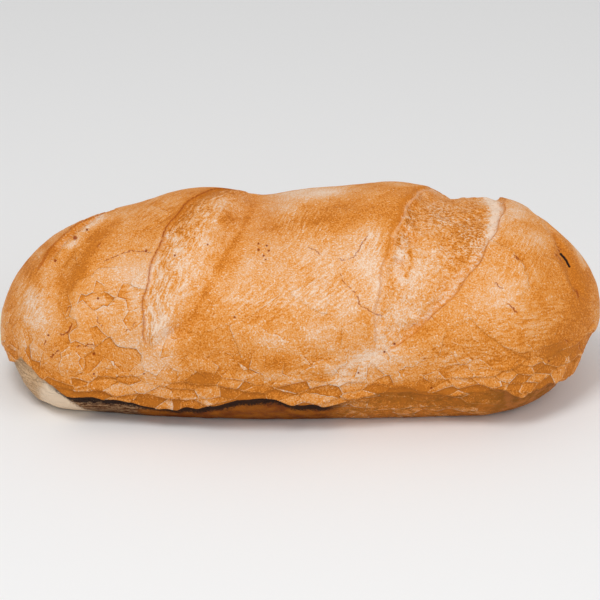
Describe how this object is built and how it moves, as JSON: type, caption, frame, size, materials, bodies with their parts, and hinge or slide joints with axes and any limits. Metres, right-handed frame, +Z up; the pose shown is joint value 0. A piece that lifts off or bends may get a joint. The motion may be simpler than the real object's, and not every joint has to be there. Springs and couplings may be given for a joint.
{
  "type": "bread loaf",
  "caption": "Long hearth-baked white bread loaf with diagonal cuts opened across its golden crown and a flat base to rest on.",
  "frame": {"origin": "middle of the bounding box in plan, at the level of the flat base", "axes": "+X along the loaf's length, +Z up, -Y the front with the lower ends of the cuts"},
  "size_m": [0.2998, 0.1372, 0.0991],
  "materials": {
    "crust": "matte"
  },
  "bodies": {
    "root": {"loaf": "crust"}
  },
  "joints": []
}
